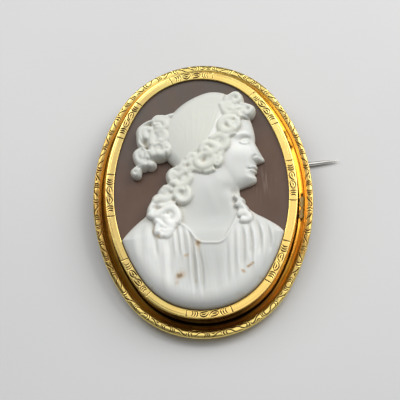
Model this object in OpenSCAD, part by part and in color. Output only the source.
// Oval shell cameo brooch in a gold frame, lying on its back as it rests on a table.
// The bust faces +X, its head is towards +Y, and the front of the brooch faces +Z.

/* [Oval] */
// Radius of the two end arcs of the four-centred oval, over the rim
end_r = 17.8; // [17:0.1:19]
// How much longer the radius of the two side arcs is
arc_step = 18; // [16.5:0.5:19]

/* [Frame] */
// Height of the rim's crest above the back
rim_h = 2.1; // [1.9:0.05:2.4]
// Width of the engraved band
band_w = 1.45; // [1.3:0.05:1.6]
// Width of the hollow moulding inside the band
cove_w = 1.2; // [1:0.05:1.3]
// How far the back wall stands inside the rim
wall_inset = 0.95; // [0.8:0.05:1]
// Thickness of the sheet that the frame is stamped from
sheet_t = 0.45; // [0.35:0.05:0.5]

/* [Bezel] */
// Height of the bezel's top above the back
bezel_h = 5; // [4.8:0.1:5.6]
// Thickness of the bezel's wall
bezel_t = 0.45; // [0.4:0.05:0.55]
// Width of the bezel's top band
lip_w = 1.6; // [1.4:0.05:1.8]
// Thickness of the top band
lip_t = 0.5; // [0.4:0.05:0.6]
// Width of the seam between the frame and the bezel
seam_gap = 0.2; // [0.1:0.05:0.25]
// Width of the ledge that bears the shell
ledge_w = 0.85; // [0.6:0.05:1.2]

/* [Cameo] */
// Thickness of the brown layer at its edge
ground_t = 2; // [1.6:0.1:2.2]
// Depth of the hollow in the shell's back
back_hollow = 0.4; // [0.2:0.05:0.6]
// Width of the carved bust at its shoulders
relief_w = 31.2; // [28:0.1:31.4]
// Height of the carved bust, from its foot to the top of the hair
relief_h = 42.8; // [40:0.1:43]
// Height of the carving above the brown layer
relief_d = 3.6; // [2.4:0.1:4.4]
// Clearance between pieces that are set together
fit_gap = 0.05; // [0.03:0.01:0.08]

/* [Pin] */
// Radius of the pin stem
pin_r = 0.45; // [0.4:0.01:0.5]
// How far the pin's point stands out past the rim
pin_out = 5.4; // [3:0.1:7]
// How far before the catch the plain round part of the stem ends
plain_stop = 2; // [1.5:0.1:4]
// Distance from the middle of the brooch up to the hinge
pin_up = 4.8; // [3:0.1:8]
// Distance from the rim in to the hinge axis
hinge_inset = 3.3; // [3:0.1:3.6]
// Distance from the back down to the hinge axis
hinge_drop = 1.5; // [1.4:0.05:1.7]
// Sideways lean of the released stem, in degrees
pin_lean = 2.8; // [1:0.1:3.5]
// Downward lean of the released stem, in degrees
pin_sag = 1.3; // [0.8:0.05:1.4]
// Radius of the hinge rivet
rivet_r = 0.4; // [0.35:0.01:0.45]
// Radial play of the rivet in the stem's eye
rivet_play = 0.05; // [0.03:0.01:0.08]
// Outer radius of the hinge knuckles
knuckle_r = 1.1; // [1.05:0.05:1.2]
// Width of the stem's eye, and of each knuckle
eye_w = 1.2; // [1:0.1:1.6]
// Play between the eye and the knuckles beside it
eye_play = 0.1; // [0.05:0.05:0.15]
// Thickness of the plates soldered under the frame
plate_t = 0.35; // [0.3:0.05:0.4]

/* [Catch] */
// Distance from the rim in to the middle of the catch
catch_inset = 3.2; // [3:0.1:3.6]
// How far the catch sits below the hinge line
catch_below = 0.8; // [0.6:0.1:1.2]
// Width of the hook
catch_w = 2.2; // [1.8:0.1:2.6]
// Inner radius of the hook
catch_r = 0.65; // [0.6:0.05:0.7]
// Thickness of the hook
catch_t = 0.45; // [0.4:0.05:0.5]

/* [Hidden] */
$fn = 96;
gold = [0.83, 0.63, 0.28];
gold_bezel = [0.88, 0.70, 0.34];
shell_brown = [0.42, 0.33, 0.29];
shell_white = [0.91, 0.89, 0.85];
white_metal = [0.80, 0.79, 0.76];

// The arcs meet on lines through both centres, set on a 336-527-625 triangle
join_cos = 0.8432;
join_sin = 0.5376;
end_c = join_sin * arc_step;
side_c = join_cos * arc_step;
side_r = end_r + arc_step;
frame_half_w = side_r - side_c;
frame_half_h = end_r + end_c;
// Reach of the wedges that cut the full turns, past every radius
cut_reach = 60;

// Distances inside the rim, measured along the oval's normal
seam_u = band_w + cove_w;
wall_u = seam_u + seam_gap;
shell_u = wall_u + bezel_t + fit_gap;
lip_over = 0.05 * lip_w;
lip_u = wall_u + lip_w - lip_over;
ground_top = bezel_h - lip_t - fit_gap;
ground_z = ground_top - ground_t;
relief_z = ground_top + fit_gap;

// The brooch rests on its two knuckles, its catch and the lower edge of its back
plate_w = 3.1 * knuckle_r;
knuckle_l = eye_w;
hinge_half = eye_w / 2 + eye_play + knuckle_l;
hinge_left = frame_half_w - hinge_inset;
catch_right = frame_half_w - catch_inset;
low_y = frame_half_h - wall_inset;
rest_tilt = atan((hinge_drop + knuckle_r) / (low_y + pin_up - hinge_half));
rest_lift = low_y * sin(rest_tilt);
catch_or = catch_r + catch_t;
catch_y = pin_up - catch_below;
catch_z = (catch_or - (low_y + catch_y) * sin(rest_tilt)) / cos(rest_tilt);

// The pin's point sets the width of the whole, and the row's origin is below its middle
pin_len = (hinge_left + frame_half_w + pin_out) / (cos(pin_sag) * cos(pin_lean));
shoulder_l = 1.55 * knuckle_r;
plain_end = hinge_left + catch_right - catch_w / 2 - plain_stop;
mid_x = pin_out / 2;
mid_y = -0.775 * rim_h * sin(rest_tilt);

module rest_pose() {
    translate([-mid_x, -mid_y, rest_lift])
        rotate([rest_tilt, 0, 0])
            children();
}

// Keeps the part of a full turn between two directions from its centre
module sector(corners) {
    intersection() {
        children();
        linear_extrude(2 * side_r, center = true)
            polygon(concat([[0, 0]], cut_reach * corners));
    }
}

// Carries a section drawn at the rim (x = 0, inwards is minus) round the oval
module round_oval() {
    for (half = [0, 180]) {
        rotate([0, 0, half]) {
            translate([0, end_c, 0])
                sector([[join_cos, join_sin], [0, 1.2], [-join_cos, join_sin]])
                    rotate_extrude()
                        translate([end_r, 0])
                            children();
            translate([-side_c, 0, 0])
                sector([[join_cos, -join_sin], [join_cos, join_sin]])
                    rotate_extrude()
                        translate([side_r, 0])
                            children();
        }
    }
}

// Frame: a stamped moulding with an open back, the hinge lugs and the catch soldered on
band_r = 0.86 * band_w;
cove_r = 1.3 * cove_w;
seam_h = 0.55 * rim_h;

module frame_section() {
    difference() {
        union() {
            intersection() {
                translate([-band_w / 2, rim_h - band_r])
                    circle(band_r);
                translate([-band_w, 0.66 * rim_h])
                    square([band_w, 0.5 * rim_h]);
            }
            difference() {
                polygon([
                    [-wall_inset, 0], [-0.9 * wall_inset, 0.48 * rim_h],
                    [-0.06 * wall_inset, 0.65 * rim_h], [-0.06 * wall_inset, 0.71 * rim_h],
                    [-0.86 * band_w, 0.83 * rim_h], [-band_w, 0.9 * rim_h],
                    [-seam_u, 0.9 * rim_h], [-seam_u, sheet_t],
                    [-shell_u - 0.2 * sheet_t, sheet_t], [-shell_u - 0.2 * sheet_t, 0]
                ]);
                translate([-seam_u - 0.15 * cove_w, seam_h + cove_r])
                    circle(cove_r);
            }
        }
        polygon([
            [-wall_inset - sheet_t, -sheet_t], [-0.9 * wall_inset - sheet_t, 0.43 * rim_h],
            [-0.48 * band_w, 0.595 * rim_h], [-0.43 * band_w, 0.71 * rim_h],
            [-0.93 * band_w, 0.74 * rim_h], [-seam_u + sheet_t, 0.41 * rim_h],
            [-seam_u + sheet_t, -sheet_t]
        ]);
    }
}

module lug(y0) {
    translate([-hinge_left, y0, -hinge_drop])
        rotate([-90, 0, 0])
            cylinder(h = knuckle_l, r = knuckle_r);
    translate([-hinge_left - 0.75 * knuckle_r, y0, -hinge_drop])
        cube([1.5 * knuckle_r, knuckle_l, hinge_drop]);
}

module hinge_lugs() {
    difference() {
        union() {
            translate([-hinge_left - plate_w / 2, pin_up - 1.1 * hinge_half, -plate_t])
                cube([plate_w, 2.2 * hinge_half, 1.3 * plate_t]);
            lug(pin_up - hinge_half);
            lug(pin_up + hinge_half - knuckle_l);
        }
        translate([-hinge_left, pin_up - 2 * hinge_half, -hinge_drop])
            rotate([-90, 0, 0])
                cylinder(h = 4 * hinge_half, r = rivet_r + rivet_play / 2);
    }
}

module catch() {
    translate([catch_right - 0.63 * catch_w, catch_y - 1.25 * catch_or, -plate_t])
        cube([1.26 * catch_w, 2.1 * catch_or, 1.3 * plate_t]);
    translate([catch_right - catch_w / 2, catch_y, catch_z])
        rotate([90, 0, 90])
            difference() {
                union() {
                    cylinder(h = catch_w, r = catch_or);
                    translate([-catch_or, 0, 0])
                        cube([catch_t, -catch_z, catch_w]);
                }
                translate([0, 0, -catch_w / 2])
                    cylinder(h = 2 * catch_w, r = catch_r);
                translate([-catch_or + catch_t, 0.15 * catch_r, -catch_w / 2])
                    cube([2 * catch_or, catch_or, 2 * catch_w]);
            }
}

module frame() {
    color(gold)
        rest_pose() {
            round_oval()
                frame_section();
            hinge_lugs();
            catch();
        }
}

// Bezel: the collet that stands in the frame and holds the shell between lip and ledge
module bezel_section() {
    translate([-wall_u - bezel_t, sheet_t + fit_gap])
        square([bezel_t, bezel_h - lip_t - sheet_t]);
    translate([-wall_u - bezel_t - ledge_w, ground_z - fit_gap - 0.9 * bezel_t])
        square([ledge_w + bezel_t / 2, 0.9 * bezel_t]);
    intersection() {
        translate([-lip_u, bezel_h - lip_t])
            square([lip_w, 1.2 * lip_t]);
        translate([-lip_u + lip_w / 2, bezel_h - 2.5 * lip_w])
            circle(2.5 * lip_w);
    }
}

module bezel() {
    color(gold_bezel)
        rest_pose()
            round_oval()
                bezel_section();
}

// Cameo ground: the brown layer of the shell, hollowed behind as the shell was
hollow_half = 0.77 * (frame_half_w - shell_u);
rim_band = 1.3 * ground_t;
hollow_r = (pow(hollow_half, 2) + pow(back_hollow, 2)) / (2 * back_hollow);

module cameo_ground() {
    color(shell_brown)
        rest_pose()
            difference() {
                union() {
                    round_oval()
                        translate([-shell_u - 2 * rim_band, ground_z])
                            square([2 * rim_band, ground_t]);
                    translate([0, 0, ground_z])
                        linear_extrude(ground_t)
                            polygon([
                                for (a = [0:15:345])
                                    [
                                        (frame_half_w - shell_u - 0.8 * rim_band) * cos(a),
                                        (frame_half_h - shell_u - 0.8 * rim_band) * sin(a)
                                    ]
                            ]);
                }
                translate([0, 0, ground_z])
                    rotate_extrude()
                        intersection() {
                            translate([0, back_hollow - hollow_r])
                                circle(hollow_r, $fn = 1440);
                            translate([0, -back_hollow])
                                square([1.1 * hollow_half, 3 * back_hollow]);
                        }
            }
}

// Cameo relief: the white layer, a bust carved in relief, built as rows from side to side
// Rows: [lowest share of the bust's height, highest share, number of rows]
ROW_FROM = 0;
ROW_TO = 1;
ROW_N = 2;
row_bands = [[0, 0.5479, 40], [0.5479, 0.8584, 34], [0.8584, 1, 11]];
// The chignon's rows join the head from the first to the last of these rows
tail_row = 49;
join_row = 57;
last_row = 77;
cols = 40;
knot_cols = 12;

// Outline: [share of the height, left and right as shares of half the width]
HEIGHT = 0;
LEFT = 1;
RIGHT = 2;
outline = [
    [0.0000, -0.205, 0.110], [0.0137, -0.410, 0.295], [0.0502, -0.615, 0.474], [0.1096, -0.808, 0.699],
    [0.1872, -1.000, 0.833], [0.2557, -1.000, 0.923], [0.3196, -1.000, 0.968], [0.3516, -0.974, 0.923],
    [0.3790, -0.917, 0.840], [0.4110, -0.814, 0.712], [0.4384, -0.718, 0.603], [0.4612, -0.641, 0.551],
    [0.4840, -0.622, 0.532], [0.5068, -0.571, 0.506], [0.5297, -0.481, 0.468], [0.5479, -0.442, 0.551],
    [0.5753, -0.391, 0.641], [0.6210, -0.385, 0.641], [0.6575, -0.340, 0.641], [0.6758, -0.295, 0.641],
    [0.6986, -0.404, 0.641], [0.7352, -0.442, 0.641], [0.8037, -0.442, 0.641], [0.8493, -0.423, 0.654],
    [0.8721, -0.397, 0.692], [0.8904, -0.359, 0.705], [0.9178, -0.288, 0.686], [0.9406, -0.218, 0.622],
    [0.9635, -0.115, 0.577], [0.9817, 0.013, 0.551], [0.9932, 0.154, 0.513], [1.0000, 0.359, 0.474]
];
// The chignon and its hanging curls: [share of the height, left, right of the hanging part]
knot_outline = [
    [0.6273, -0.782, -0.718], [0.6457, -0.817, -0.667], [0.6640, -0.801, -0.538], [0.6824, -0.782, -0.481],
    [0.7007, -0.792, -0.417], [0.7236, -0.795, -0.417], [0.7466, -0.763, -0.417], [0.7695, -0.712, -0.417],
    [0.7925, -0.747, -0.417], [0.8154, -0.756, -0.417], [0.8383, -0.737, -0.417], [0.8590, -0.660, -0.417],
    [0.8773, -0.558, -0.417], [0.8970, -0.481, -0.417]
];
// A plain classical face: [share of the face's height from the chin, how far out, in the same height]
face_from = 0.5479;
face_share = 0.3059;
face_profile = [
    [0.00, -0.105], [0.04, 0.002], [0.08, 0.032], [0.12, 0.028], [0.155, 0.000], [0.19, 0.040],
    [0.222, 0.022], [0.255, 0.055], [0.29, 0.042], [0.325, 0.048], [0.345, 0.105], [0.375, 0.155],
    [0.42, 0.138], [0.55, 0.072], [0.64, 0.030], [0.69, 0.036], [0.80, 0.030], [0.92, 0.005], [1.00, 0.0]
];
// Curls: [right, up, radius, height], all as shares of half the width but up, a share of the height
CURL_X = 0;
CURL_Y = 1;
CURL_R = 2;
CURL_H = 3;
curls = [
    [0.482, 0.954, 0.104, 0.80], [0.596, 0.892, 0.103, 0.74], [0.406, 0.843, 0.122, 0.86], [0.359, 0.900, 0.083, 0.86],
    [0.258, 0.734, 0.109, 0.96], [0.333, 0.786, 0.077, 0.92], [0.130, 0.686, 0.141, 1.00], [-0.058, 0.644, 0.115, 0.95],
    [0.072, 0.612, 0.083, 0.93], [-0.167, 0.632, 0.083, 0.84], [-0.307, 0.603, 0.096, 0.70], [-0.219, 0.526, 0.131, 0.82],
    [-0.412, 0.545, 0.083, 0.64], [-0.504, 0.496, 0.128, 0.68], [-0.546, 0.450, 0.096, 0.64], [-0.379, 0.422, 0.115, 0.72],
    [-0.460, 0.358, 0.109, 0.72], [0.447, 0.490, 0.054, 0.40], [0.502, 0.442, 0.061, 0.46], [0.519, 0.390, 0.058, 0.48],
    [-0.634, 0.813, 0.122, 0.66], [-0.467, 0.868, 0.083, 0.70], [-0.378, 0.877, 0.071, 0.72], [-0.448, 0.827, 0.083, 0.78],
    [-0.532, 0.769, 0.077, 0.66], [-0.436, 0.785, 0.077, 0.74], [-0.487, 0.728, 0.115, 0.72], [-0.720, 0.714, 0.077, 0.56],
    [-0.667, 0.669, 0.080, 0.54], [-0.583, 0.669, 0.064, 0.52], [-0.750, 0.643, 0.064, 0.48]
];

half_rw = relief_w / 2;
// The bust's middle stands a little below the middle of the oval
relief_y0 = -0.534 * relief_h;

function rows_to(b) = b == 0 ? 0 : rows_to(b - 1) + row_bands[b - 1][ROW_N];
last = rows_to(3);
function band_of(j) = j < rows_to(1) ? 0 : (j < rows_to(2) ? 1 : 2);
function row_share(j) =
    let (b = band_of(j), r = row_bands[b])
    r[ROW_FROM] + (r[ROW_TO] - r[ROW_FROM]) * (j - rows_to(b)) / r[ROW_N];
function row_y(s) = relief_y0 + s * relief_h;

// Half the width of the oval at a height, at a distance inside the rim
function oval_x(y, u) =
    abs(y) < end_c + (end_r - u) * join_sin
        ? sqrt(pow(side_r - u, 2) - y * y) - side_c
        : sqrt(max(0.01, pow(end_r - u, 2) - pow(abs(y) - end_c, 2)));

function column(t, k) = [for (r = t) [r[HEIGHT], r[k]]];
out_left = column(outline, LEFT);
out_right = column(outline, RIGHT);
knot_left = column(knot_outline, LEFT);
knot_right = column(knot_outline, RIGHT);
edge_u = lip_u + 3 * fit_gap;

function main_left(s) = max(half_rw * lookup(s, out_left), -oval_x(row_y(s), edge_u));
function profile_x(s) =
    let (q = (s - face_from) / face_share)
    q < 0 || q > 1 ? 0 : lookup(q, face_profile) * face_share * relief_h;
function main_right(s) = min(half_rw * lookup(s, out_right) + profile_x(s), oval_x(row_y(s), edge_u));

function sq(v) = v * v;
function cap(x, y, cx, cy, rx, ry) =
    let (q = 1 - sq((x - cx) / rx) - sq((y - cy) / ry))
    q > 0 ? sqrt(q) : 0;
function blend(a, b, k) =
    let (t = max(k - abs(a - b), 0) / k)
    max(a, b) + t * t * k / 4;
function rounded(d, w) =
    let (q = 1 - min(max(d, 0) / w, 1))
    sqrt(1 - q * q);
function step_up(v, a, b) =
    let (q = min(max((v - a) / (b - a), 0), 1))
    q * q * (3 - 2 * q);

function curl(c, x, y) =
    let (
        dx = x - c[CURL_X] * half_rw,
        dy = y - row_y(c[CURL_Y]),
        r = c[CURL_R] * half_rw,
        d = sqrt(dx * dx + dy * dy) / r
    )
    d >= 1 ? 0 : (c[CURL_H] - 0.16) * step_up(1 - d, 0, 0.25)
        + 0.16 * sqrt(1 - d * d)
        + 0.05 * cos(360 * d * 1.1 + atan2(dy, dx)) * (1 - d);

// Height of the carving as a share of its depth, over the brown layer
function head_form(x, y, s) =
    let (w = half_rw)
    blend(
        0.86 * cap(x, y, 0.08 * w, row_y(0.795), 0.72 * w, 0.30 * relief_h),
        0.74 * cap(x, y, 0.42 * w, row_y(0.690), 0.42 * w, 0.19 * relief_h),
        0.15
    );
function neck_form(x, y, s) =
    0.60 * sqrt(max(0, 1 - sq((x - (0.10 - 0.4 * (s - 0.5)) * half_rw) / (0.52 * half_rw)))) * step_up(s, 0.30, 0.42)
        * (1 - step_up(s, 0.62, 0.75));
function bust_form(x, y, s) =
    0.74 * cap(x, y, -0.05 * half_rw, row_y(0.17), 1.30 * half_rw, 0.42 * relief_h);
function dress(x, s) =
    let (
        neckline = 0.335 + 0.16 * pow(abs(x / half_rw - 0.13), 1.5),
        on = 1 - step_up(s, neckline - 0.012, neckline + 0.012),
        lean = x / half_rw * (1 + 0.5 * s)
    )
    on * (0.05 + 0.028 * cos(360 * lean * 3.3 + 40 * sin(400 * s)) + 0.014 * cos(360 * lean * 7.1 + 90));
function features(x, s) =
    let (
        f = (s - face_from) / face_share,
        g = x / half_rw
    )
    0.05 * cap(g, f, 0.545, 0.630, 0.055, 0.030)
        - 0.07 * cap(g, f, 0.555, 0.655, 0.110, 0.065)
        + 0.05 * cap(g, f, 0.62, 0.365, 0.06, 0.045)
        - 0.04 * cap(g, f, 0.585, 0.222, 0.07, 0.018)
        - 0.05 * cap(g, f, 0.300, 0.050, 0.30, 0.10);
function hair(x, y) = max([for (c = curls) curl(c, x, y)]);

function relief_at(x, y, s, left, right) =
    let (
        edge = min(x - left, right - x),
        soft = 0.12 + 0.88 * rounded(edge + 0.01 * half_rw, (0.12 - 0.05 * step_up(s, 0.3, 0.5)) * relief_w),
        body = blend(head_form(x, y, s), blend(neck_form(x, y, s), bust_form(x, y, s), 0.2), 0.2),
        skin = (body + features(x, s) + dress(x, s)) * soft,
        locks = hair(x, y) * (0.4 + 0.6 * rounded(edge + 0.01 * half_rw, 0.04 * relief_w)),
        foot = rounded(s + 0.006, 0.06) * rounded(1.012 - s, 0.037)
    )
    relief_d * max(0.1, max(skin, locks) * (0.25 + 0.75 * foot));

function joined(j) = j >= join_row && j <= last_row;
function left_of(j) = joined(j) ? half_rw * lookup(row_share(j), knot_left) : main_left(row_share(j));

function main_top(j, i) =
    let (
        s = row_share(j),
        a = main_left(s),
        b = main_right(s),
        x = a + (b - a) * i / cols,
        y = row_y(s)
    )
    [x, y, relief_z + relief_at(x, y, s, left_of(j), b)];
function knot_top(j, i) =
    let (
        s = row_share(j),
        a = half_rw * lookup(s, knot_left),
        b = half_rw * lookup(s, knot_right),
        m = joined(j) ? main_left(s) : b,
        x = a + (m - a) * i / knot_cols,
        y = row_y(s)
    )
    [x, y, relief_z + relief_at(x, y, s, a, joined(j) ? main_right(s) : b)];
function floor_of(p) = [p[0], p[1], relief_z];

// Point numbers: tops first, then the floor points under the outline
n_main = (last + 1) * (cols + 1);
n_knot = (last_row - tail_row + 1) * (knot_cols + 1);
function mt(j, i) = j * (cols + 1) + i;
function kt(j, i) =
    joined(j) && i == knot_cols ? mt(j, 0) : n_main + (j - tail_row) * (knot_cols + 1) + i;
function under(k) = k + n_main + n_knot;

points_top = concat(
    [for (j = [0:last]) for (i = [0:cols]) main_top(j, i)],
    [for (j = [tail_row:last_row]) for (i = [0:knot_cols]) knot_top(j, i)]
);

// Quads between two rows of a sheet, split in two
function quad(a, b, c, d) = [[a, b, c], [a, c, d]];
function wall(a, b) = quad(a, b, under(b), under(a));

module relief_solid() {
    main_tops = [
        for (j = [0:last - 1]) for (i = [0:cols - 1])
            each quad(mt(j, i), mt(j + 1, i), mt(j + 1, i + 1), mt(j, i + 1))
    ];
    knot_tops = [
        for (j = [tail_row:last_row - 1]) for (i = [0:knot_cols - 1])
            each quad(kt(j, i), kt(j + 1, i), kt(j + 1, i + 1), kt(j, i + 1))
    ];
    main_floor = [
        for (j = [1:last - 2])
            each quad(under(mt(j, 0)), under(mt(j, cols)), under(mt(j + 1, cols)), under(mt(j + 1, 0)))
    ];
    knot_floor = [
        for (j = [tail_row + 1:last_row - 2])
            each quad(
                under(kt(j, 0)), under(kt(j, knot_cols)), under(kt(j + 1, knot_cols)), under(kt(j + 1, 0))
            )
    ];
    // the first and last strips of each sheet fan out to every point of its end row
    ends_floor = concat(
        [for (i = [0:cols - 1]) [under(mt(1, 0)), under(mt(0, i)), under(mt(0, i + 1))]],
        [[under(mt(1, 0)), under(mt(0, cols)), under(mt(1, cols))]],
        [for (i = [0:cols - 1]) [under(mt(last - 1, 0)), under(mt(last, i + 1)), under(mt(last, i))]],
        [[under(mt(last - 1, 0)), under(mt(last - 1, cols)), under(mt(last, cols))]],
        [
            for (i = [0:knot_cols - 1])
                [under(kt(tail_row + 1, 0)), under(kt(tail_row, i)), under(kt(tail_row, i + 1))]
        ],
        [[under(kt(tail_row + 1, 0)), under(kt(tail_row, knot_cols)), under(kt(tail_row + 1, knot_cols))]],
        [
            for (i = [0:knot_cols - 1])
                [under(kt(last_row - 1, 0)), under(kt(last_row, i + 1)), under(kt(last_row, i))]
        ],
        [[under(kt(last_row - 1, 0)), under(kt(last_row - 1, knot_cols)), under(kt(last_row, knot_cols))]]
    );
    walls = concat(
        [for (j = [0:last - 1]) if (j < join_row || j >= last_row) each wall(mt(j + 1, 0), mt(j, 0))],
        [for (j = [0:last - 1]) each wall(mt(j, cols), mt(j + 1, cols))],
        [for (i = [0:cols - 1]) each wall(mt(0, i), mt(0, i + 1))],
        [for (i = [0:cols - 1]) each wall(mt(last, i + 1), mt(last, i))],
        [for (j = [tail_row:last_row - 1]) each wall(kt(j + 1, 0), kt(j, 0))],
        [for (j = [tail_row:join_row - 1]) each wall(kt(j, knot_cols), kt(j + 1, knot_cols))],
        [for (i = [0:knot_cols - 1]) each wall(kt(tail_row, i), kt(tail_row, i + 1))],
        [for (i = [0:knot_cols - 1]) each wall(kt(last_row, i + 1), kt(last_row, i))]
    );
    polyhedron(
        points = concat(points_top, [for (p = points_top) floor_of(p)]),
        faces = concat(main_tops, knot_tops, main_floor, knot_floor, ends_floor, walls)
    );
}

module cameo_relief() {
    color(shell_white)
        rest_pose()
            relief_solid();
}

// Pin stem: the pin with its rolled eye, released and lying beside the catch
module pin_stem() {
    color(white_metal)
        rest_pose()
            translate([-hinge_left, pin_up, -hinge_drop])
                difference() {
                    union() {
                        translate([0, -eye_w / 2, 0])
                            rotate([-90, 0, 0])
                                cylinder(h = eye_w, r = 0.92 * knuckle_r);
                        rotate([0, 0, pin_lean])
                            rotate([0, 90 + pin_sag, 0])
                                rotate_extrude()
                                    polygon([
                                        [0, eye_w / 2], [eye_w / 2, eye_w / 2], [eye_w / 2, 0.86 * knuckle_r],
                                        [pin_r, shoulder_l], [pin_r, plain_end], [0.93 * pin_r, pin_len - pin_out],
                                        [0.13 * pin_r, 0.999 * pin_len], [0, pin_len]
                                    ]);
                    }
                    translate([0, -eye_w, 0])
                        rotate([-90, 0, 0])
                            cylinder(h = 2 * eye_w, r = rivet_r + rivet_play);
                }
}

// Hinge pin: the rivet that the eye turns on, its heads outside the knuckles
head_r = 1.6 * rivet_r;
head_t = 0.7 * rivet_r;
head_from = hinge_half + 0.3 * eye_play;

module rivet_half() {
    cylinder(h = head_from + head_t / 2, r = rivet_r);
    translate([0, 0, head_from])
        cylinder(h = head_t, r1 = head_r, r2 = 0.75 * head_r);
}

module hinge_pin() {
    color(gold)
        rest_pose()
            translate([-hinge_left, pin_up, -hinge_drop]) {
                rotate([-90, 0, 0])
                    rivet_half();
                rotate([90, 0, 0])
                    rivet_half();
            }
}

frame();
bezel();
cameo_ground();
cameo_relief();
pin_stem();
hinge_pin();
